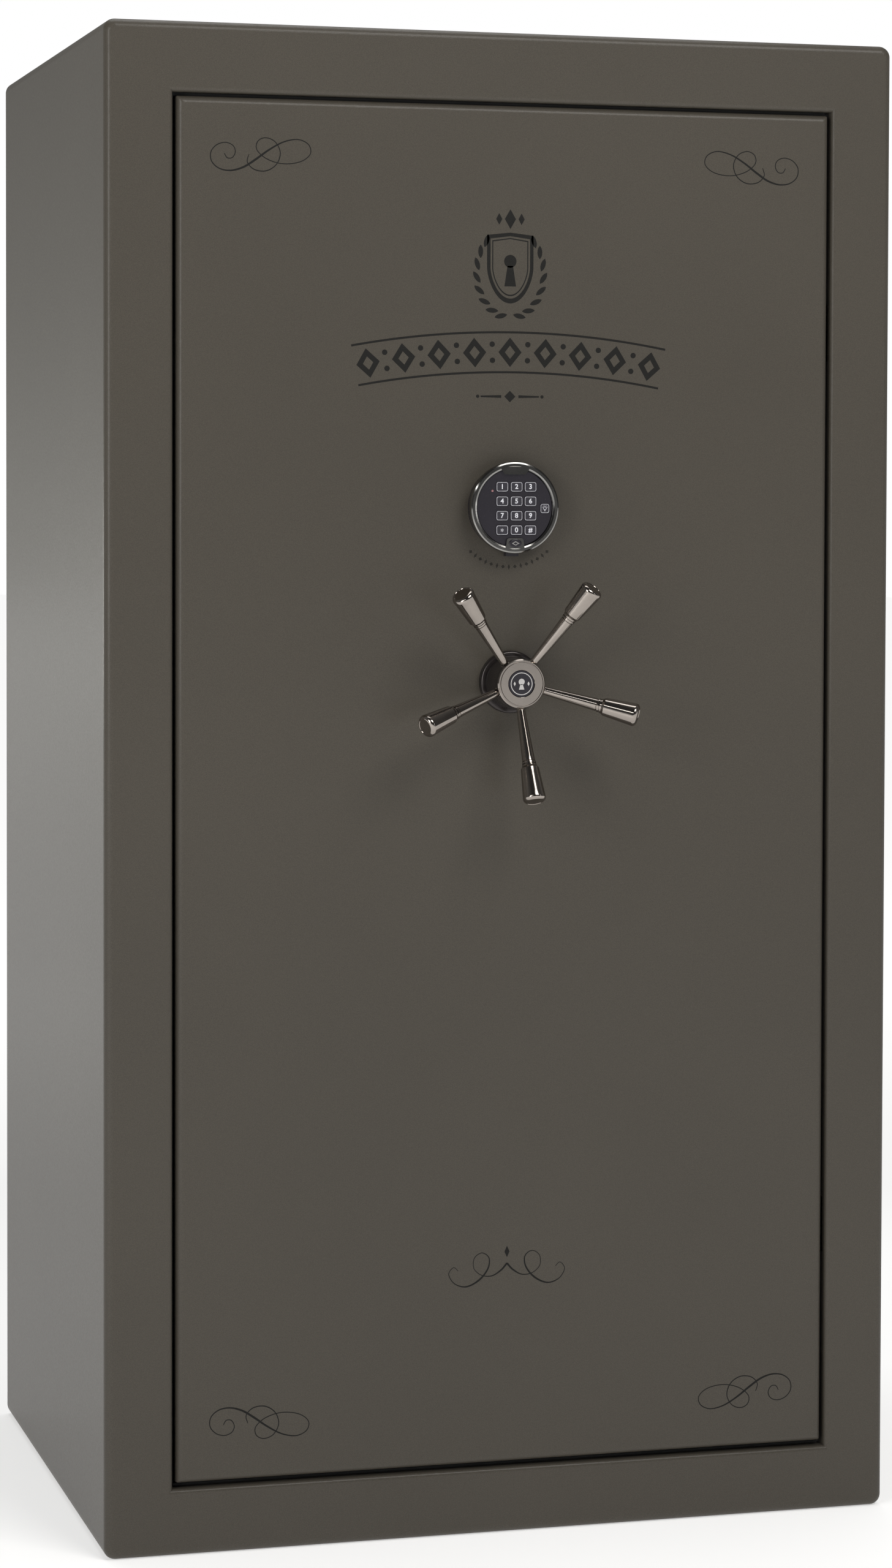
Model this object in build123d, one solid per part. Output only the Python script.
from build123d import *
import os
from math import acos, cos, pi, radians, sin, tan

# Gun safe, door closed and boltwork drawn back. Millimetres. The origin is the centre of the
# underside. X runs to the viewer's right, Y into the safe and Z up, so the front is at -Y.

# ---- cabinet ----
BODY_W = 914.0
BODY_D = 711.0
BODY_H = 1689.0
STEEL = 3.0
LONG_BEND = 12.5
FRONT_BEND = 9.5
BACK_BEND = 7.0
FRONT = -BODY_D / 2
LEFT_IN = -BODY_W / 2 + STEEL
RIGHT_IN = BODY_W / 2 - STEEL
TOP_IN = BODY_H - STEEL
BACK_RIM = 28.0
BACK_IN = BODY_D / 2 - STEEL - 0.3 - STEEL
LINING_BACK = BACK_IN - 0.8

# ---- door opening, its folded lip and the jamb behind it ----
CENTRE_X = 1.7
OPEN_X0 = CENTRE_X - 383.0
OPEN_X1 = CENTRE_X + 383.0
OPEN_Z0 = 74.3
OPEN_Z1 = 1611.5
LIP_BEND = 5.2
LIP_DEPTH = 12.0
JAMB_BACK = 39.0
JAMB_FLANGE = 31.0
SEAL_T = 3.0
SEAL_NEAR = 17.0
SEAL_FAR = 31.0

# ---- floor anchors and the rear cable hole ----
ANCHOR_X = 290.0
ANCHOR_Y = 200.0
ANCHOR_R = 7.0
ANCHOR_ACCESS_R = 17.0
CABLE_X = 330.0
CABLE_Z = 150.0
CABLE_R = 11.0
GROMMET_R = 14.0

# ---- linings ----
BOARD = 25.0
ROOF_BOARD = 38.0
CARPET = 4.0
LINING_FRONT = FRONT + 90.5
INNER_X = RIGHT_IN - BOARD - CARPET
INNER_FLOOR = STEEL + BOARD + CARPET
INNER_ROOF = TOP_IN - ROOF_BOARD - CARPET
INNER_BACK = LINING_BACK - BOARD - CARPET

# ---- shelving and gun racks ----
SHELF_FRONT = FRONT + 140.0
SHELF_BACK = INNER_BACK - 1.0
SHELF_T = 19.0
TOP_SHELF_Z = 1330.0
SIDE_SHELF_Z = (360.0, 690.0, 1015.0)
DIVIDER_X0 = -40.0
DIVIDER_X1 = -21.0
STANDARD_W = 16.0
STANDARD_T = 3.0
STANDARD_INSET = 60.0
RACK_Z = 1080.0
RACK_DEPTH = 85.0
RACK_NOTCH_R = 17.0
RACK_GUNS = 6
RACK_LIP = 12.0
RACK_T = 22.0
REST_L = 280.0
REST_T = 32.0
CLIP_W = 14.0
CLIP_FOOT = 18.0
HOLE_PITCH = 50.0

# ---- door ----
DOOR_X0 = CENTRE_X - 378.75
DOOR_X1 = CENTRE_X + 378.75
DOOR_Z0 = 80.5
DOOR_Z1 = 1607.5
DOOR_STEEL = 4.0
DOOR_BEND = 7.8
DOOR_EDGE = 12.0
PAN_X = 366.0
PAN_Z0 = 92.0
PAN_Z1 = 1596.0
PAN_STEEL = 3.0
PAN_BACK = 33.0
FRAME_BACK = 62.0
PANEL_T = 7.0
PANEL_BEND = 10.0
POUCH_X = 330.0
POUCH_W = 318.0
POUCH_T = 20.0
POUCH_ROWS = ((150.0, 380.0), (570.0, 300.0), (910.0, 260.0))
WIDE_ROWS = ((1230.0, 100.0), (1385.0, 100.0))
WIDE_T = 14.0

# ---- hinges: goosenecks that reach round the jamb to a pin behind the face frame ----
PIVOT_X = 428.0
PIVOT_Y = FRONT + 20.0
HINGE_Z = (330.0, 1360.0)
ARM_H = 50.0
ARM_T = 10.0
ARM_REACH = 60.0
LEAF_T = 8.0
LEAF_FRONT = 14.0
KNUCKLE_R = 11.0
BUSH_R = 8.0
PIN_R = 6.0
PIN_CLEAR = 0.05
EAR_GAP = 0.6
EAR_T = 6.0
WINDOW_H = ARM_H / 2 + 7.0

# ---- handle ----
HANDLE_X = CENTRE_X
HANDLE_Z = 963.6
FLANGE_R = 35.0
FLANGE_T = 9.0
HUB_BACK_R = 30.2
HUB_FRONT_R = 27.6
HUB_FRONT = 48.7
RING_R = 27.3
RING_FRONT = 51.4
CAP_R = 14.9
SHAFT_R = 8.0
SHAFT_BUSH_R = 12.0
SPOKES = 5
SPOKE_START = -15.8
SPOKE_RAKE = 23.8
SPOKE_FOOT = 31.5
SPOKE_NECK = 93.0
SPOKE_END = 140.5

# ---- boltwork: one pinion drives four racked locking bars ----
MODULE = 2.5
TEETH = 16
PITCH_R = MODULE * TEETH / 2
PRESSURE = radians(20)
ADDENDUM = 2.2
DEDENDUM = 3.1
BACKLASH = 0.12
BAR_T = 5.0
BAR_TRAVEL = PITCH_R * pi / 2
SIDE_BARS_AT = 41.0
END_BARS_AT = 47.0
RACK_BACK = 42.0
TONGUE_W = 100.0
SIDE_TONGUES = (200.0, 560.0, 1130.0, 1490.0)
END_TONGUES = (-180.0, 180.0)
CARRIER_IN = 290.0
CARRIER_OUT = 330.0
CARRIER_EAR = 250.0
END_CARRIER_X = 250.0
END_EAR_L = 55.0
EAR_HALF = 22.0
RACK_REACH = 51.0
ELBOW_H = 26.0
JOG_RISE = 88.0
JOG_OUT = 60.0
JOG_W = 22.0
STUD_R = 6.0
STUD_HEAD_R = 10.0
SLOT_CLEAR = 0.6
SIDE_STUD_X = 310.0
SIDE_STUD_Z = (430.0, 1260.0)
END_STUD_X = 120.0
TOP_STUD_Z = 1540.0
BOTTOM_STUD_Z = 148.0

# ---- electronic lock ----
KEYPAD_X = CENTRE_X - 0.5
KEYPAD_Z = 1158.9
LOCK_W = 61.0
LOCK_H = 85.0
LOCK_BACK = 61.0
LATCH_W = 16.0
LATCH_T = 8.0
LATCH_FRONT = 44.0
LATCH_L = 30.0
TAB_TIP_X = -31.0
FINGER_X0 = -60.0
FINGER_X1 = -43.0
TAB_Z0 = 1170.0
TAB_H = 8.0
WIRE_R = 1.6
WIRE_Z = KEYPAD_Z + 25.0
PLATE_HALF = 50.0

# ---- keypad ----
BASE_BACK_R = 48.0
BASE_FRONT_R = 50.0
BASE_T = 17.3
BEZEL_R = 51.25
BEZEL_IN_R = 43.75
BEZEL_FRONT = 25.0
FACE_FRONT = 22.5
KEY_W = 14.2
KEY_H = 11.3
KEY_BACK = 19.5
KEY_FRONT = 23.1
KEY_GAP = 0.3
KEY_COLUMNS = (-14.5, 2.1, 18.3)
KEY_ROWS = (23.2, 7.1, -9.0, -25.1)
KEY_NAMES = (("1", "2", "3"), ("4", "5", "6"), ("7", "8", "9"), ("star", "0", "hash"))
LIGHT_KEY = (35.0, -0.9, 10.9, 11.0)
LAMP = (-25.8, 18.6)
LAMP_R = 1.2
DRAWER_HALF = 16.0
DRAWER_NEAR = 1.5
DRAWER_FAR = 15.9
DRAWER_Z0 = KEYPAD_Z - 47.5
DRAWER_H = 58.0
CELL_R = 7.15


def box(x0, x1, y0, y1, z0, z1):
    size = (x1 - x0, y1 - y0, z1 - z0)
    return Pos(x0, y0, z0) * Box(*size, align=(Align.MIN, Align.MIN, Align.MIN))


def slab(x0, x1, z0, z1, near, far):
    """A block placed by its depth behind the safe's front plane; ahead of it is negative."""
    return box(x0, x1, FRONT + near, FRONT + far, z0, z1)


def rod_y(x, z, radius, near, far):
    """A cylinder along Y, placed by depth behind the front plane."""
    shape = Cylinder(radius, far - near, align=(Align.CENTER, Align.CENTER, Align.MIN))
    return Pos(x, FRONT + near, z) * Rot(-90, 0, 0) * shape


def rod_z(x, y, radius, z0, z1):
    shape = Cylinder(radius, z1 - z0, align=(Align.CENTER, Align.CENTER, Align.MIN))
    return Pos(x, y, z0) * shape


def rod_x(x0, x1, y, z, radius):
    shape = Cylinder(radius, x1 - x0, align=(Align.CENTER, Align.CENTER, Align.MIN))
    return Pos(x0, y, z) * Rot(0, 90, 0) * shape


def turned(points):
    """A solid of revolution about Z from (radius, height) points."""
    return revolve(make_face(Plane.XZ * Polyline(*points, close=True)), Axis.Z)


def ahead(solid, x, z):
    """Stand a solid that was turned about Z on the front plane at (x, z), pointing forwards."""
    return Pos(x, FRONT, z) * Rot(90, 0, 0) * solid


def folded_box(width, depth, height, long_bend, front_bend, back_bend):
    shape = Box(width, depth, height)
    shape = fillet(shape.edges().filter_by(Axis.Y), long_bend)
    shape = fillet(shape.faces().sort_by(Axis.Y)[0].edges(), front_bend)
    return fillet(shape.faces().sort_by(Axis.Y)[-1].edges(), back_bend)


def anchor_holes(radius, z0, z1):
    return [rod_z(sx * ANCHOR_X, sy * ANCHOR_Y, radius, z0, z1) for sx in (-1, 1) for sy in (-1, 1)]


# ---- cabinet pieces ----

def make_body_shell():
    outer = folded_box(BODY_W, BODY_D, BODY_H, LONG_BEND, FRONT_BEND, BACK_BEND)
    thin = 2 * STEEL
    inner = folded_box(BODY_W - thin, BODY_D - thin, BODY_H - thin,
                       LONG_BEND - STEEL, FRONT_BEND - STEEL, BACK_BEND - STEEL)
    shell = Pos(0, 0, BODY_H / 2) * (outer - inner)
    lip = slab(OPEN_X0 - STEEL, OPEN_X1 + STEEL, OPEN_Z0 - STEEL, OPEN_Z1 + STEEL, 0, LIP_DEPTH)
    shell = shell + lip
    shell -= slab(OPEN_X0, OPEN_X1, OPEN_Z0, OPEN_Z1, -1, LIP_DEPTH + 1)
    face = shell.faces().filter_by(Plane.XZ).sort_by(Axis.Y)[0]
    shell = fillet(face.inner_wires()[0].edges(), LIP_BEND)
    shell -= box(LEFT_IN + BACK_RIM, RIGHT_IN - BACK_RIM, BODY_D / 2 - 2 * STEEL, BODY_D / 2 + 1,
                 STEEL + BACK_RIM, TOP_IN - BACK_RIM)
    for hole in anchor_holes(ANCHOR_R, -1, STEEL + 1):
        shell -= hole
    return shell


def make_back_panel():
    gap = BACK_BEND - STEEL + 1
    panel = box(LEFT_IN + gap, RIGHT_IN - gap, BACK_IN, BACK_IN + STEEL, STEEL + gap, TOP_IN - gap)
    return panel - rod_y(CABLE_X, CABLE_Z, GROMMET_R + 0.3, BACK_IN - FRONT - 1, BODY_D)


def hinge_windows():
    """Heights of the stretches of the hinge-side jamb between its two hinge windows."""
    stops = [OPEN_Z0 + 0.2]
    for z in HINGE_Z:
        stops += [z - WINDOW_H, z + WINDOW_H]
    stops.append(OPEN_Z1 - 0.2)
    return list(zip(stops[0::2], stops[1::2]))


def make_jamb_frame():
    near = LIP_DEPTH + 0.2
    flange = JAMB_BACK - STEEL
    pieces = []
    for z_edge, side in ((OPEN_Z0, -1), (OPEN_Z1, 1)):
        web = sorted((z_edge, z_edge + side * STEEL))
        wing = sorted((z_edge, z_edge + side * JAMB_FLANGE))
        x0 = OPEN_X0 - JAMB_FLANGE
        x1 = OPEN_X1 + JAMB_FLANGE
        piece = slab(OPEN_X0 - STEEL, OPEN_X1 + STEEL, *web, near, JAMB_BACK)
        pieces.append(piece + slab(x0, x1, *wing, flange, JAMB_BACK))
    z0 = OPEN_Z0 + 0.2
    z1 = OPEN_Z1 - 0.2
    web = slab(OPEN_X0 - STEEL, OPEN_X0, z0, z1, near, JAMB_BACK)
    pieces.append(web + slab(OPEN_X0 - JAMB_FLANGE, OPEN_X0, z0, z1, flange, JAMB_BACK))
    for z0, z1 in hinge_windows():
        web = slab(OPEN_X1, OPEN_X1 + STEEL, z0, z1, near, JAMB_BACK)
        pieces.append(web + slab(OPEN_X1, OPEN_X1 + JAMB_FLANGE, z0, z1, flange, JAMB_BACK))
    return pieces


def make_door_seal():
    near = SEAL_NEAR
    far = SEAL_FAR
    ends = (OPEN_X0 + SEAL_T + 0.2, OPEN_X1 - SEAL_T - 0.2)
    strips = [slab(*ends, OPEN_Z0, OPEN_Z0 + SEAL_T, near, far),
              slab(*ends, OPEN_Z1 - SEAL_T, OPEN_Z1, near, far),
              slab(OPEN_X0, OPEN_X0 + SEAL_T, OPEN_Z0 + 1, OPEN_Z1 - 1, near, far)]
    for z0, z1 in hinge_windows():
        strips.append(slab(OPEN_X1 - SEAL_T, OPEN_X1, z0 + 1, z1 - 1, near, far))
    return strips


def make_fireboard_lining():
    far = LINING_BACK
    clear = LONG_BEND
    side_z = (STEEL + clear, TOP_IN - clear)
    mid_x = RIGHT_IN - BOARD - 0.2
    floor = box(-mid_x, mid_x, LINING_FRONT, far, STEEL, STEEL + BOARD)
    for hole in anchor_holes(ANCHOR_ACCESS_R, 0, 2 * BOARD):
        floor -= hole
    back = box(-mid_x, mid_x, far - BOARD, far, STEEL + BOARD + 0.2, TOP_IN - ROOF_BOARD - 0.2)
    back -= rod_y(CABLE_X, CABLE_Z, GROMMET_R + 0.3, far - BOARD - FRONT - 1, BODY_D)
    return [floor, back,
            box(-mid_x, mid_x, LINING_FRONT, far, TOP_IN - ROOF_BOARD, TOP_IN),
            box(LEFT_IN, LEFT_IN + BOARD, LINING_FRONT, far, *side_z),
            box(RIGHT_IN - BOARD, RIGHT_IN, LINING_FRONT, far, *side_z)]


def make_carpet_lining():
    far = LINING_BACK - BOARD - 0.2
    z0 = STEEL + BOARD
    z1 = TOP_IN - ROOF_BOARD
    wall_x = RIGHT_IN - BOARD
    mid_x = INNER_X - 0.2
    floor = box(-mid_x, mid_x, LINING_FRONT, far, z0, INNER_FLOOR)
    for hole in anchor_holes(ANCHOR_ACCESS_R, 0, 2 * BOARD):
        floor -= hole
    back = box(-mid_x, mid_x, INNER_BACK, far, INNER_FLOOR + 0.2, INNER_ROOF - 0.2)
    back -= rod_y(CABLE_X, CABLE_Z, GROMMET_R + 0.3, INNER_BACK - FRONT - 1, BODY_D)
    skins = [floor, back, box(-mid_x, mid_x, LINING_FRONT, far, INNER_ROOF, z1)]
    edge = LINING_FRONT - CARPET
    skins.append(box(-mid_x, mid_x, edge, LINING_FRONT - 0.2, STEEL + 1, INNER_FLOOR))
    skins.append(box(-mid_x, mid_x, edge, LINING_FRONT - 0.2, INNER_ROOF, TOP_IN - 1))
    for side in (-1, 1):
        xs = sorted((side * INNER_X, side * wall_x))
        skins.append(box(*xs, LINING_FRONT, far, z0 + 0.2, z1 - 0.2))
        xs = sorted((side * INNER_X, side * (RIGHT_IN - 0.5)))
        skins.append(box(*xs, edge, LINING_FRONT - 0.2, z0 - 12, z1 + 12))
    return skins


def standards():
    """The inner face x, the direction away from the wall and the y of each slotted upright."""
    places = []
    for y in (SHELF_FRONT + STANDARD_INSET, SHELF_BACK - STANDARD_INSET):
        places.append((-INNER_X, 1, y))
        places.append((DIVIDER_X0, -1, y))
    return places


def make_shelf_standards():
    pieces = []
    z0 = INNER_FLOOR + 30
    z1 = TOP_SHELF_Z - 30
    for x, way, y in standards():
        xs = sorted((x, x + way * STANDARD_T))
        rail = box(*xs, y - STANDARD_W / 2, y + STANDARD_W / 2, z0, z1)
        holes = int((z1 - z0 - 40) // HOLE_PITCH)
        for k in range(holes + 1):
            z = z0 + 20 + HOLE_PITCH * k
            rail -= box(xs[0] - 1, xs[1] + 1, y - 2.5, y + 2.5, z - 6, z + 6)
        pieces.append(rail)
    return pieces


def make_shelf_clips():
    """Clips that hook into the uprights and carry the shelves of the left bay."""
    pieces = []
    for z in SIDE_SHELF_Z:
        for x, way, y in standards():
            start = x + way * (STANDARD_T + 0.1)
            foot = sorted((start, start + way * CLIP_FOOT))
            spine = sorted((start, start + way * 2))
            ys = (y - CLIP_W / 2, y + CLIP_W / 2)
            pieces.append(box(*foot, *ys, z - 2.2, z - 0.2) + box(*spine, *ys, z - 20, z - 0.2))
    return pieces


def soft_board(x0, x1, y0, y1, z0, z1, bend):
    """A carpet-wrapped board with softened long front and back edges."""
    board = box(x0, x1, y0, y1, z0, z1)
    return fillet(board.edges().filter_by(Axis.X), bend)


def make_shelves():
    """The full-width top shelf and the adjustable shelves of the left bay."""
    ends = (-INNER_X + 0.5, INNER_X - 0.5)
    top = soft_board(*ends, SHELF_FRONT, SHELF_BACK, TOP_SHELF_Z, TOP_SHELF_Z + SHELF_T, 5)
    x0 = -INNER_X + STANDARD_T + 0.8
    x1 = DIVIDER_X0 - STANDARD_T - 0.8
    shelves = [top]
    for z in SIDE_SHELF_Z:
        shelf = soft_board(x0, x1, SHELF_FRONT + 12, SHELF_BACK - 1, z, z + SHELF_T, 5)
        for x, way, y in standards():
            xs = sorted((x, x + way * (STANDARD_T + 3)))
            shelf -= box(*xs, y - STANDARD_W, y + STANDARD_W, z - 1, z + SHELF_T + 1)
        shelves.append(shelf)
    return shelves


def make_center_divider():
    board = box(DIVIDER_X0, DIVIDER_X1, SHELF_FRONT + 4, SHELF_BACK, INNER_FLOOR, TOP_SHELF_Z - 0.3)
    return fillet(board.faces().sort_by(Axis.Y)[0].edges().filter_by(Axis.Z), 5)


def rack_places():
    x0 = DIVIDER_X1
    pitch = (INNER_X - x0) / RACK_GUNS
    return [x0 + pitch * (k + 0.5) for k in range(RACK_GUNS)]


def make_barrel_rack():
    near = SHELF_BACK - RACK_DEPTH
    centre_y = near + RACK_NOTCH_R + RACK_LIP
    board = box(DIVIDER_X1 + 0.5, INNER_X - 0.5, near, SHELF_BACK, RACK_Z, RACK_Z + RACK_T)
    zs = (RACK_Z - 1, RACK_Z + RACK_T + 1)
    for x in rack_places():
        board -= rod_z(x, centre_y, RACK_NOTCH_R, *zs)
        board -= box(x - RACK_NOTCH_R, x + RACK_NOTCH_R, near - 1, centre_y, *zs)
    return board


def make_stock_rest():
    """The padded step that the gun butts stand on."""
    far = SHELF_BACK - 10
    block = box(DIVIDER_X1 + 0.5, INNER_X - 0.5, far - REST_L, far, INNER_FLOOR, INNER_FLOOR + REST_T)
    return fillet(block.faces().sort_by(Axis.Z)[-1].edges().filter_by(Axis.X), 8)


def make_cable_grommet():
    near = INNER_BACK - 1.5
    far = BODY_D / 2 + 0.5
    tube = rod_y(CABLE_X, CABLE_Z, GROMMET_R, near - FRONT, far - FRONT)
    for y in (near - 1.5, BACK_IN + STEEL):
        tube += rod_y(CABLE_X, CABLE_Z, GROMMET_R + 5, y - FRONT, y - FRONT + 3)
    return tube - rod_y(CABLE_X, CABLE_Z, CABLE_R, 0, 2 * BODY_D)


def make_hinge_brackets():
    pieces = []
    for z in HINGE_Z:
        top = ARM_H / 2 + EAR_GAP + EAR_T
        plate = box(RIGHT_IN - LEAF_T, RIGHT_IN, FRONT + 10, FRONT + 62, z - top - 12, z + top + 12)
        for side in (-1, 1):
            zs = sorted((z + side * (top - EAR_T), z + side * top))
            plate += box(PIVOT_X, RIGHT_IN - LEAF_T, PIVOT_Y - 12, PIVOT_Y + 12, *zs)
            plate += rod_z(PIVOT_X, PIVOT_Y, 12, *zs)
            plate -= rod_z(PIVOT_X, PIVOT_Y, PIN_R + 0.02, zs[0] - 1, zs[1] + 1)
        pieces.append(plate)
    return pieces


def make_hinge_pins():
    pieces = []
    for z in HINGE_Z:
        top = ARM_H / 2 + EAR_GAP + EAR_T
        pin = rod_z(PIVOT_X, PIVOT_Y, PIN_R, z - top - 3, z + top + 0.2)
        pieces.append(pin + rod_z(PIVOT_X, PIVOT_Y, 9, z + top + 0.2, z + top + 3.5))
    return pieces


# ---- door pieces ----

def door_holes(near, far, shaft_r, wire_r):
    return [rod_y(HANDLE_X, HANDLE_Z, shaft_r, near, far), rod_y(KEYPAD_X, WIRE_Z, wire_r, near, far)]


def drill(shape, holes):
    for hole in holes:
        shape -= hole
    return shape


def make_door_skin():
    skin = slab(DOOR_X0, DOOR_X1, DOOR_Z0, DOOR_Z1, 0, DOOR_EDGE)
    skin = fillet(skin.edges().filter_by(Axis.Y), 2)
    skin = fillet(skin.faces().sort_by(Axis.Y)[0].edges(), DOOR_BEND)
    wall = DOOR_STEEL
    hollow = slab(DOOR_X0 + wall, DOOR_X1 - wall, DOOR_Z0 + wall, DOOR_Z1 - wall, wall, DOOR_EDGE + 9)
    hollow = fillet(hollow.faces().sort_by(Axis.Y)[0].edges(), DOOR_BEND - wall)
    return drill(skin - hollow, door_holes(-1, DOOR_EDGE, SHAFT_BUSH_R + 0.02, 5))


def make_door_fireboard():
    gap = PAN_STEEL + 0.3
    near = DOOR_STEEL + 0.2
    far = PAN_BACK - PAN_STEEL - 0.2
    board = slab(-PAN_X + gap, PAN_X - gap, PAN_Z0 + gap, PAN_Z1 - gap, near, far)
    half = PLATE_HALF + 0.5
    board -= slab(KEYPAD_X - half, KEYPAD_X + half, KEYPAD_Z - half, KEYPAD_Z + half, far - 6, far + 1)
    return drill(board, door_holes(0, PAN_BACK, SHAFT_BUSH_R + 0.4, 4))


def make_hard_plate():
    far = PAN_BACK - PAN_STEEL - 0.2
    half = PLATE_HALF
    plate = slab(KEYPAD_X - half, KEYPAD_X + half, KEYPAD_Z - half, KEYPAD_Z + half, far - 5, far)
    return drill(plate, door_holes(0, PAN_BACK, SHAFT_BUSH_R, 3))


def screw_places():
    """Height and depth of each screw that holds a hinge leaf."""
    return [(z + dz, depth) for z in HINGE_Z for dz in (-14, 14) for depth in (23.0, 54.0)]


def screw_holes():
    return [rod_x(PAN_X - 5, PAN_X + LEAF_T + 1, FRONT + depth, z, 3.2) for z, depth in screw_places()]


def make_door_pan():
    near = DOOR_STEEL + 0.1
    pan = slab(-PAN_X, PAN_X, PAN_Z0, PAN_Z1, near, PAN_BACK)
    wall = PAN_STEEL
    pan -= slab(-PAN_X + wall, PAN_X - wall, PAN_Z0 + wall, PAN_Z1 - wall, near - 1, PAN_BACK - wall)
    pan = drill(pan, door_holes(PAN_BACK - 5, PAN_BACK + 1, SHAFT_BUSH_R + 0.02, 4))
    return drill(pan, screw_holes())


def make_bolt_frame():
    near = PAN_BACK + 0.2
    frame = slab(-PAN_X, PAN_X, PAN_Z0, PAN_Z1, near, FRAME_BACK)
    wall = PAN_STEEL
    frame -= slab(-PAN_X + wall, PAN_X - wall, PAN_Z0 + wall, PAN_Z1 - wall, near - 1, FRAME_BACK + 1)
    half = TONGUE_W / 2 + SLOT_CLEAR
    for z in SIDE_TONGUES:
        frame -= slab(-PAN_X - 1, PAN_X + 1, z - half, z + half,
                      SIDE_BARS_AT - SLOT_CLEAR, SIDE_BARS_AT + BAR_T + SLOT_CLEAR)
    for x in END_TONGUES:
        frame -= slab(x - half, x + half, PAN_Z0 - 1, PAN_Z1 + 1,
                      END_BARS_AT - SLOT_CLEAR, END_BARS_AT + BAR_T + SLOT_CLEAR)
    return drill(frame, screw_holes())


def make_door_panel():
    near = FRAME_BACK + 0.2
    panel = slab(-PAN_X, PAN_X, PAN_Z0, PAN_Z1, near, near + PANEL_T)
    panel = fillet(panel.edges().filter_by(Axis.Y), PANEL_BEND)
    return fillet(panel.faces().sort_by(Axis.Y)[-1].edges(), 2)


def make_door_pockets():
    """Soft pouches on the inside of the door: two columns of three, and two wide flat ones above."""
    near = FRAME_BACK + 0.2 + PANEL_T + 0.2
    sizes = [(x0, x0 + POUCH_W, z0, z0 + h, POUCH_T) for x0 in (-POUCH_X, POUCH_X - POUCH_W)
             for z0, h in POUCH_ROWS]
    sizes += [(-POUCH_X, POUCH_X, z0, z0 + h, WIDE_T) for z0, h in WIDE_ROWS]
    pouches = []
    for x0, x1, z0, z1, thick in sizes:
        pouch = slab(x0, x1, z0, z1, near, near + thick)
        pouches.append(fillet(pouch.faces().sort_by(Axis.Y)[-1].edges(), 8))
    return pouches


def make_hinge_arms():
    back = PIVOT_Y + ARM_REACH
    arms = []
    for z in HINGE_Z:
        zs = (z - ARM_H / 2, z + ARM_H / 2)
        arm = box(PIVOT_X - ARM_T / 2, PIVOT_X + ARM_T / 2, PIVOT_Y, back, *zs)
        arm += box(PAN_X + 0.1, PIVOT_X + ARM_T / 2, back - LEAF_T, back, *zs)
        arm += box(PAN_X + 0.1, PAN_X + LEAF_T, FRONT + LEAF_FRONT, back, *zs)
        corners = arm.edges().filter_by(Axis.Z).filter_by_position(Axis.Y, back - 0.1, back + 0.1)
        arm = fillet(corners, 6)
        arm += rod_z(PIVOT_X, PIVOT_Y, KNUCKLE_R, *zs)
        arm -= rod_z(PIVOT_X, PIVOT_Y, BUSH_R + 0.01, zs[0] - 1, zs[1] + 1)
        arms.append(drill(arm, screw_holes()))
    return arms


def make_hinge_bushings():
    pieces = []
    for z in HINGE_Z:
        sleeve = rod_z(PIVOT_X, PIVOT_Y, BUSH_R, z - ARM_H / 2, z + ARM_H / 2)
        pieces.append(sleeve - rod_z(PIVOT_X, PIVOT_Y, PIN_R + PIN_CLEAR, z - ARM_H, z + ARM_H))
    return pieces


def make_hinge_screws():
    pieces = []
    outer = PAN_X + LEAF_T
    for z, depth in screw_places():
        shank = rod_x(PAN_X - PAN_STEEL, outer, FRONT + depth, z, 2.95)
        head = fillet(rod_x(outer, outer + 3, FRONT + depth, z, 5.5).edges().sort_by(Axis.X)[-1], 1.5)
        socket = extrude(RegularPolygon(2.0, 6), 3)
        head -= Pos(outer + 1.4, FRONT + depth, z) * Rot(0, 90, 0) * socket
        pieces.append(shank + head)
    return pieces


def make_shaft_bushing():
    sleeve = rod_y(HANDLE_X, HANDLE_Z, SHAFT_BUSH_R, 0.3, PAN_BACK)
    return sleeve - rod_y(HANDLE_X, HANDLE_Z, SHAFT_R + 0.05, -1, PAN_BACK + 1)


def make_lock_body():
    x0 = KEYPAD_X - LOCK_W / 2
    z0 = KEYPAD_Z - LOCK_H / 2
    body = slab(x0, x0 + LOCK_W, z0, z0 + LOCK_H, PAN_BACK + 0.2, LOCK_BACK)
    body = fillet(body.edges().filter_by(Axis.Y), 4)
    gap = 0.3
    half = LATCH_W / 2 + gap
    body -= slab(x0 - 1, x0 + LATCH_L + 2, KEYPAD_Z - half, KEYPAD_Z + half,
                 LATCH_FRONT - gap, LATCH_FRONT + LATCH_T + gap)
    return body


def make_lock_bolt():
    x0 = KEYPAD_X - LOCK_W / 2 + 0.3
    half = LATCH_W / 2
    bolt = slab(x0, x0 + LATCH_L, KEYPAD_Z - half, KEYPAD_Z + half, LATCH_FRONT, LATCH_FRONT + LATCH_T)
    return chamfer(bolt.faces().sort_by(Axis.X)[0].edges(), 1)


def make_lock_wire():
    return rod_y(KEYPAD_X, WIRE_Z, WIRE_R, -3, PAN_BACK)


# ---- handle ----

def spoke_frames():
    """One plane for each spoke: origin at the foot on the hub axis, z along the spoke."""
    rake = radians(SPOKE_RAKE)
    foot = (HANDLE_X, FRONT - SPOKE_FOOT, HANDLE_Z)
    frames = []
    for k in range(SPOKES):
        turn = radians(SPOKE_START + 360 / SPOKES * k)
        way = (cos(turn) * cos(rake), -sin(rake), sin(turn) * cos(rake))
        frames.append(Plane(origin=foot, z_dir=way))
    return frames


def make_handle_flange():
    bore = SHAFT_R + 1.5
    profile = [(bore, 0), (FLANGE_R, 0), (FLANGE_R, FLANGE_T), (bore, FLANGE_T)]
    disc = ahead(turned(profile), HANDLE_X, HANDLE_Z)
    front_circles = disc.edges().filter_by(GeomType.CIRCLE).sort_by(Axis.Y)[:2]
    return fillet(front_circles.sort_by(SortBy.RADIUS)[-1], 3)


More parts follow.
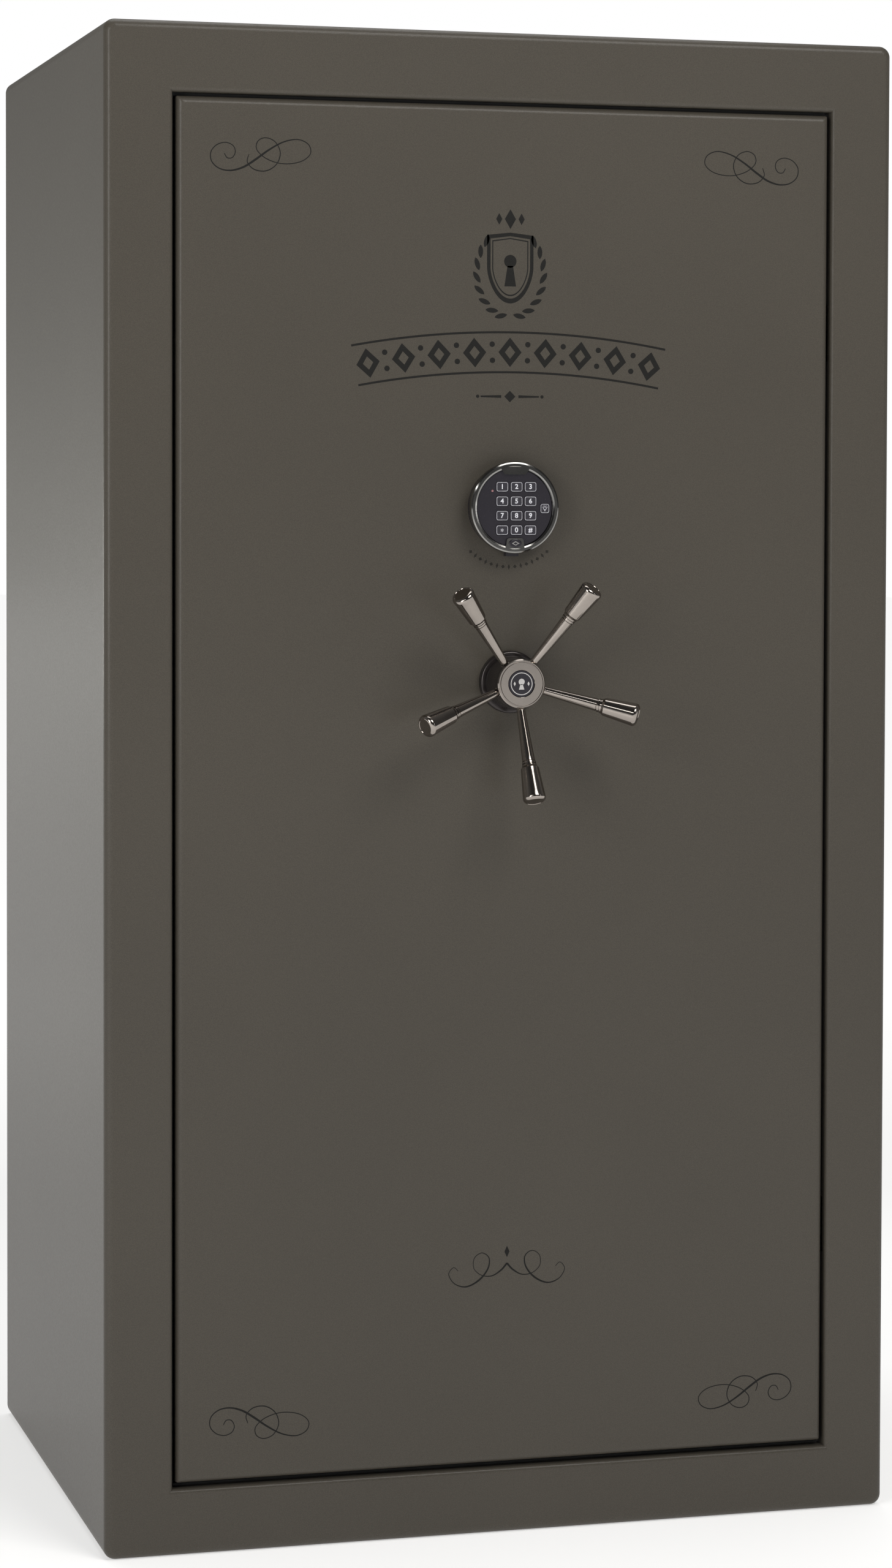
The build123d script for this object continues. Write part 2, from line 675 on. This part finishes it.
def make_handle_hub():
    start = FLANGE_T + 0.6
    waist = start + 12
    profile = [(0, start), (HUB_BACK_R, start), (HUB_BACK_R, start + 3),
               (HUB_FRONT_R + 0.6, waist + 8), (HUB_FRONT_R, HUB_FRONT - 4),
               (HUB_FRONT_R - 0.5, HUB_FRONT), (0, HUB_FRONT)]
    hub = ahead(turned(profile), HANDLE_X, HANDLE_Z)
    hub -= rod_y(HANDLE_X, HANDLE_Z, SHAFT_R + 0.02, -30.3, 0)
    for frame in spoke_frames():
        bore = [(0, 14.5), (4.65, 14.5), (4.65, 28), (5.25, 28), (5.25, 60), (0, 60)]
        hub -= frame.location * turned(bore)
    return hub


def make_hub_ring():
    back = HUB_FRONT + 0.2
    profile = [(CAP_R + 0.2, back), (RING_R, back), (RING_R, RING_FRONT - 1.1), (RING_R - 1.1, RING_FRONT),
               (RING_R - 2.3, RING_FRONT), (RING_R - 2.6, RING_FRONT - 1.4),
               (RING_R - 3.3, RING_FRONT - 1.4), (RING_R - 3.6, RING_FRONT),
               (CAP_R + 0.6, RING_FRONT), (CAP_R + 0.2, RING_FRONT - 0.4)]
    return ahead(turned(profile), HANDLE_X, HANDLE_Z)


def make_hub_cap():
    back = HUB_FRONT + 0.2
    profile = [(0, back), (CAP_R, back), (CAP_R, RING_FRONT - 0.9), (CAP_R - 0.5, RING_FRONT - 0.4),
               (0, RING_FRONT - 0.4)]
    return ahead(turned(profile), HANDLE_X, HANDLE_Z)


def make_handle_spokes():
    neck = SPOKE_NECK
    profile = [(0, 15), (4.6, 15), (4.6, 28.3), (5.2, 28.3), (5.2, 30.6), (4.65, 31),
               (7.3, neck), (6.5, neck + 0.4), (6.5, neck + 1.0), (7.9, neck + 1.3),
               (7.9, neck + 3.3), (7.0, neck + 3.6), (7.0, neck + 4.2), (5, neck + 4.2),
               (5, neck + 32), (0, neck + 32)]
    return [frame.location * turned(profile) for frame in spoke_frames()]


def make_handle_grips():
    start = SPOKE_NECK + 4.3
    end = SPOKE_END
    outline = Polyline((5.02, start), (8.2, start), (8.4, start + 1.8), (10.2, start + 4.6),
                       (12.8, end - 5))
    crown = ThreePointArc((12.8, end - 5), (12.0, end - 1.7), (9.4, end))
    rest = Polyline((9.4, end), (9.0, end - 0.4), (0, end - 0.4), (0, start + 28.5),
                    (5.02, start + 28.5), (5.02, start))
    grip = revolve(make_face(Plane.XZ * (outline + crown + rest)), Axis.Z)
    return [frame.location * grip for frame in spoke_frames()]


def make_handle_shaft():
    shaft = rod_y(HANDLE_X, HANDLE_Z, SHAFT_R, -30, END_BARS_AT + BAR_T + 2)
    return chamfer(shaft.edges().filter_by(GeomType.CIRCLE), 0.8)


def involute(angle):
    return tan(angle) - angle


def tooth_flank(radius):
    """Half the angle of a pinion tooth at a radius, from the involute of its base circle."""
    base = PITCH_R * cos(PRESSURE)
    half = (pi * MODULE / 4 - BACKLASH) / PITCH_R + involute(PRESSURE)
    if radius <= base:
        return half
    return half - involute(acos(base / radius))


def make_drive_pinion():
    base = PITCH_R * cos(PRESSURE)
    tip = PITCH_R + ADDENDUM
    root = PITCH_R - DEDENDUM
    radii = [root, base, base + 0.5, PITCH_R, PITCH_R + ADDENDUM / 2, tip]
    points = []
    for k in range(TEETH):
        middle = 2 * pi * k / TEETH
        rising = [(r, middle - tooth_flank(r)) for r in radii]
        falling = [(r, middle + tooth_flank(r)) for r in reversed(radii)]
        points += [(r * cos(a), r * sin(a)) for r, a in rising + falling]
    near = SIDE_BARS_AT - 0.5
    far = END_BARS_AT + BAR_T + 0.5
    blank = extrude(make_face(Polyline(*points, close=True)), far - near)
    gear = Pos(HANDLE_X, FRONT + far, HANDLE_Z) * Rot(90, 0, 0) * blank
    return gear - rod_y(HANDLE_X, HANDLE_Z, SHAFT_R + 0.02, near - 1, far + 1)


# ---- locking bars, drawn as flat plates in (x, z) and extruded along Y ----

def plate_at(near, sketch):
    """Extrude a sketch drawn in (x, z) into a bar whose front is at a depth."""
    return Pos(0, FRONT + near + BAR_T, 0) * Rot(90, 0, 0) * extrude(sketch, BAR_T)


def patch(x0, x1, z0, z1):
    return Pos((x0 + x1) / 2, (z0 + z1) / 2) * Rectangle(abs(x1 - x0), abs(z1 - z0))


def rack(first, last):
    """Rack teeth along X above the pinion, from the first to the last tooth, at the handle."""
    pitch = pi * MODULE
    half = pi * MODULE / 4 - BACKLASH
    top = RACK_BACK - 1
    teeth = patch(pitch * (first - 0.5), pitch * (last + 0.5), PITCH_R + DEDENDUM - 0.1, top)
    for k in range(first, last):
        x = pitch * (k + 0.5)
        tip = half - ADDENDUM * tan(PRESSURE)
        foot = half + DEDENDUM * tan(PRESSURE)
        z_tip = PITCH_R - ADDENDUM
        z_foot = PITCH_R + DEDENDUM
        tooth = Polyline((x - foot, z_foot), (x - tip, z_tip), (x + tip, z_tip), (x + foot, z_foot),
                         close=True)
        teeth += make_face(tooth)
    return teeth


def slot(x, z, dx, dz):
    """A guide slot in a bar that moves by (-dx, -dz), round a stud at (x, z)."""
    r = STUD_R + SLOT_CLEAR / 2
    ends = Pos(x, z) * Circle(r) + Pos(x + dx, z + dz) * Circle(r)
    return ends + patch(x - (r if dz else 0), x + dx + (r if dz else 0),
                        z - (r if dx else 0), z + dz + (r if dx else 0))


def side_bar(side):
    """Left bar (side -1) or right bar (side 1): its rack runs above or below the pinion."""
    tilt = 0 if side < 0 else 180
    teeth = Pos(HANDLE_X, HANDLE_Z) * Rot(0, 0, tilt) * rack(-2, 6)
    arm_z = sorted((HANDLE_Z - side * (PITCH_R + DEDENDUM), HANDLE_Z - side * RACK_BACK))
    sketch = teeth + patch(HANDLE_X - side * RACK_REACH, side * CARRIER_IN, *arm_z)
    half = TONGUE_W / 2
    ends = (SIDE_TONGUES[0] - half, SIDE_TONGUES[-1] + half)
    sketch += patch(side * CARRIER_IN, side * CARRIER_OUT, *ends)
    for z in SIDE_TONGUES:
        sketch += patch(side * CARRIER_OUT, side * (PAN_X - 0.5), z - half, z + half)
    for z in SIDE_STUD_Z:
        sketch += patch(side * CARRIER_EAR, side * CARRIER_IN, z - EAR_HALF, z + EAR_HALF)
        sketch -= slot(side * SIDE_STUD_X, z, -side * BAR_TRAVEL, 0)
    return plate_at(SIDE_BARS_AT, sketch)


def end_bar(end, stud_z, tip_z, riser):
    """Top bar (end 1) or bottom bar (end -1): a rack, a riser to the carrier and its tongues."""
    tilt = -90 if end > 0 else 90
    sketch = Pos(HANDLE_X, HANDLE_Z) * Rot(0, 0, tilt) * rack(-6, 2) + riser
    outer_z = stud_z + end * 20
    sketch += patch(-END_CARRIER_X, END_CARRIER_X, stud_z - end * 10, outer_z)
    for x in END_TONGUES:
        sketch += patch(x - TONGUE_W / 2, x + TONGUE_W / 2, outer_z, tip_z)
    for x in (-END_STUD_X, END_STUD_X):
        sketch += patch(x - EAR_HALF, x + EAR_HALF, stud_z - end * END_EAR_L, stud_z)
        sketch -= slot(x, stud_z, 0, -end * BAR_TRAVEL)
    return plate_at(END_BARS_AT, sketch)


def make_bar_top():
    x = HANDLE_X + PITCH_R + DEDENDUM
    low = HANDLE_Z + JOG_RISE
    jog = HANDLE_X + JOG_OUT
    riser = patch(x, HANDLE_X + RACK_BACK, HANDLE_Z - RACK_REACH, low + JOG_W)
    riser += patch(x, jog + JOG_W, low, low + JOG_W)
    riser += patch(jog, jog + JOG_W, low, TOP_STUD_Z)
    return end_bar(1, TOP_STUD_Z, PAN_Z1 - 0.5, riser)


def make_bar_bottom():
    """The bottom bar, with a finger up beside the lock and the tab welded on it that the lock stops."""
    x = HANDLE_X - PITCH_R - DEDENDUM
    tail = HANDLE_Z + RACK_REACH
    riser = patch(HANDLE_X - RACK_BACK, x, BOTTOM_STUD_Z, tail)
    riser += patch(FINGER_X0, HANDLE_X - RACK_BACK + 2, tail - ELBOW_H, tail)
    riser += patch(FINGER_X0, FINGER_X1, tail - ELBOW_H, TAB_Z0 + TAB_H)
    bar = end_bar(-1, BOTTOM_STUD_Z, PAN_Z0 + 0.5, riser)
    tab = patch(FINGER_X1, TAB_TIP_X, TAB_Z0, TAB_Z0 + TAB_H)
    return [bar, plate_at(END_BARS_AT, tab)]


def guide_stud(x, z, bar_at):
    near = PAN_BACK + 0.1
    stud = rod_y(x, z, STUD_HEAD_R, near, bar_at - 0.3)
    stud += rod_y(x, z, STUD_R, near, bar_at + BAR_T + 0.3)
    return stud + rod_y(x, z, STUD_HEAD_R, bar_at + BAR_T + 0.3, bar_at + BAR_T + 3.3)


def make_guide_studs():
    studs = [guide_stud(side * SIDE_STUD_X, z, SIDE_BARS_AT) for side in (-1, 1) for z in SIDE_STUD_Z]
    for z in (TOP_STUD_Z, BOTTOM_STUD_Z):
        studs += [guide_stud(side * END_STUD_X, z, END_BARS_AT) for side in (-1, 1)]
    return studs


# ---- keypad ----

def make_keypad_base():
    profile = [(0, 0), (BASE_BACK_R, 0), (BASE_FRONT_R, BASE_T), (0, BASE_T)]
    base = ahead(turned(profile), KEYPAD_X, KEYPAD_Z)
    gap = 0.3
    base -= slab(KEYPAD_X - DRAWER_HALF - gap, KEYPAD_X + DRAWER_HALF + gap, KEYPAD_Z - 80,
                 DRAWER_Z0 + DRAWER_H + gap, -DRAWER_FAR - gap, -DRAWER_NEAR + gap)
    return base - rod_y(KEYPAD_X, WIRE_Z, 2, -3.5, 1)


def make_keypad_bezel():
    back = BASE_T + 0.1
    profile = [(BEZEL_IN_R, back), (BEZEL_R - 0.6, back), (BEZEL_R, back + 1.2),
               (BEZEL_R, BEZEL_FRONT - 2.2), (BEZEL_R - 0.7, BEZEL_FRONT - 0.7),
               (BEZEL_R - 2.2, BEZEL_FRONT),
               (BEZEL_IN_R + 2.4, BEZEL_FRONT), (BEZEL_IN_R + 0.7, BEZEL_FRONT - 0.5),
               (BEZEL_IN_R, BEZEL_FRONT - 1.6)]
    ring = ahead(turned(profile), KEYPAD_X, KEYPAD_Z)
    top = make_face(Polyline((-18, 45.5), (18, 45.5), (12, 37), (-12, 37), close=True))
    top = fillet(top.vertices().sort_by(Axis.Y)[:2], 1.5)
    foot = make_face(Polyline((-11, -45.5), (11, -45.5), (9.3, -34), (-9.3, -34), close=True))
    foot = fillet(foot.vertices().sort_by(Axis.Y)[2:], 3)
    tabs = ahead(Pos(0, 0, FACE_FRONT + 0.3) * extrude(top + foot, 2.6), KEYPAD_X, KEYPAD_Z)
    return ring + tabs


def make_keypad_badge():
    oval = extrude(Ellipse(7.4, 4.9), 1.4)
    oval = fillet(oval.faces().sort_by(Axis.Z)[-1].edges(), 1.1)
    return ahead(Pos(0, -39.8, FACE_FRONT + 3.0) * oval, KEYPAD_X, KEYPAD_Z)


def key_cap(width, height, grow):
    return RectangleRounded(width + 2 * grow, height + 2 * grow, 2.4 + grow)


def key_places():
    """The name, place and size of every key, measured from the keypad's centre."""
    places = []
    for row, names in zip(KEY_ROWS, KEY_NAMES):
        for column, name in zip(KEY_COLUMNS, names):
            places.append(("key_" + name, column, row, KEY_W, KEY_H))
    places.append(("key_light", *LIGHT_KEY))
    return places


def make_keypad_face():
    back = BASE_T + 0.2
    disc = [(0, back), (BEZEL_IN_R - 0.2, back), (BEZEL_IN_R - 0.2, FACE_FRONT - 0.4),
            (BEZEL_IN_R - 0.6, FACE_FRONT), (0, FACE_FRONT)]
    face = turned(disc)
    for _, x, z, width, height in key_places():
        face -= Pos(x, z, KEY_BACK - 1.3) * extrude(key_cap(width, height, KEY_GAP), 9)
    face -= Pos(LAMP[0], LAMP[1], back + 1) * extrude(Circle(LAMP_R + 0.05), FACE_FRONT)
    return ahead(face, KEYPAD_X, KEYPAD_Z)


def make_status_lamp():
    return rod_y(KEYPAD_X + LAMP[0], KEYPAD_Z + LAMP[1], LAMP_R, -FACE_FRONT - 0.4, -FACE_FRONT + 2.5)


def make_key(x, z, width, height):
    cap = extrude(key_cap(width, height, 0), KEY_FRONT - KEY_BACK)
    cap = fillet(cap.faces().sort_by(Axis.Z)[-1].edges(), 0.35)
    return ahead(Pos(x, z, KEY_BACK) * cap, KEYPAD_X, KEYPAD_Z)


def make_battery_drawer():
    x0 = KEYPAD_X - DRAWER_HALF
    x1 = KEYPAD_X + DRAWER_HALF
    z1 = DRAWER_Z0 + DRAWER_H
    depths = (-DRAWER_FAR, -DRAWER_NEAR)
    tray = slab(x0, x1, DRAWER_Z0, DRAWER_Z0 + 3.5, *depths)
    tray += slab(x0, x1, z1 - 3, z1, *depths)
    tray += slab(x0, x0 + 1.3, DRAWER_Z0, z1, *depths)
    tray += slab(x1 - 1.3, x1, DRAWER_Z0, z1, *depths)
    tray += slab(KEYPAD_X - 7.25, KEYPAD_X + 7.25, KEYPAD_Z - 54.3, DRAWER_Z0 + 1, -13.5, -4)
    return tray


def make_battery_cells():
    y = FRONT - (DRAWER_NEAR + DRAWER_FAR) / 2
    z0 = DRAWER_Z0 + 3.7
    return [rod_z(KEYPAD_X + side * (CELL_R + 0.05), y, CELL_R, z0, z0 + 50) for side in (-1, 1)]


# ---- one STEP file for each node ----

NODES = {
    "body_shell": make_body_shell,
    "back_panel": make_back_panel,
    "jamb_frame": make_jamb_frame,
    "door_seal": make_door_seal,
    "fireboard_lining": make_fireboard_lining,
    "carpet_lining": make_carpet_lining,
    "shelf_supports": lambda: make_shelf_standards() + make_shelf_clips(),
    "shelves": make_shelves,
    "center_divider": make_center_divider,
    "barrel_rack": make_barrel_rack,
    "stock_rest": make_stock_rest,
    "cable_grommet": make_cable_grommet,
    "hinge_brackets": make_hinge_brackets,
    "hinge_pins": make_hinge_pins,
    "door_skin": make_door_skin,
    "door_fireboard": make_door_fireboard,
    "hard_plate": make_hard_plate,
    "door_pan": make_door_pan,
    "bolt_frame": make_bolt_frame,
    "door_panel": make_door_panel,
    "door_pockets": make_door_pockets,
    "hinge_arms": make_hinge_arms,
    "hinge_bushings": make_hinge_bushings,
    "hinge_screws": make_hinge_screws,
    "guide_studs": make_guide_studs,
    "shaft_bushing": make_shaft_bushing,
    "lock_body": make_lock_body,
    "lock_wire": make_lock_wire,
    "handle_flange": make_handle_flange,
    "keypad_base": make_keypad_base,
    "keypad_bezel": make_keypad_bezel,
    "keypad_badge": make_keypad_badge,
    "keypad_face": make_keypad_face,
    "status_lamp": make_status_lamp,
    "handle_hub": make_handle_hub,
    "hub_ring": make_hub_ring,
    "hub_cap": make_hub_cap,
    "handle_spokes": make_handle_spokes,
    "handle_grips": make_handle_grips,
    "handle_shaft": make_handle_shaft,
    "drive_pinion": make_drive_pinion,
    "bar_left": lambda: side_bar(-1),
    "bar_right": lambda: side_bar(1),
    "bar_top": make_bar_top,
    "bar_bottom": make_bar_bottom,
    "lock_bolt": make_lock_bolt,
    "battery_drawer": lambda: [make_battery_drawer()] + make_battery_cells(),
}


def solids_of(shape):
    if isinstance(shape, (list, tuple)):
        return [solid for item in shape for solid in item.solids()]
    return shape.solids()


def save(name, shape):
    solids = solids_of(shape)
    whole = solids[0] if len(solids) == 1 else Compound(children=list(solids))
    export_step(whole, f"parts/{name}.step")


def main():
    os.makedirs("parts", exist_ok=True)
    for name, make in NODES.items():
        save(name, make())
    for name, x, z, width, height in key_places():
        save(name, make_key(x, z, width, height))


main()
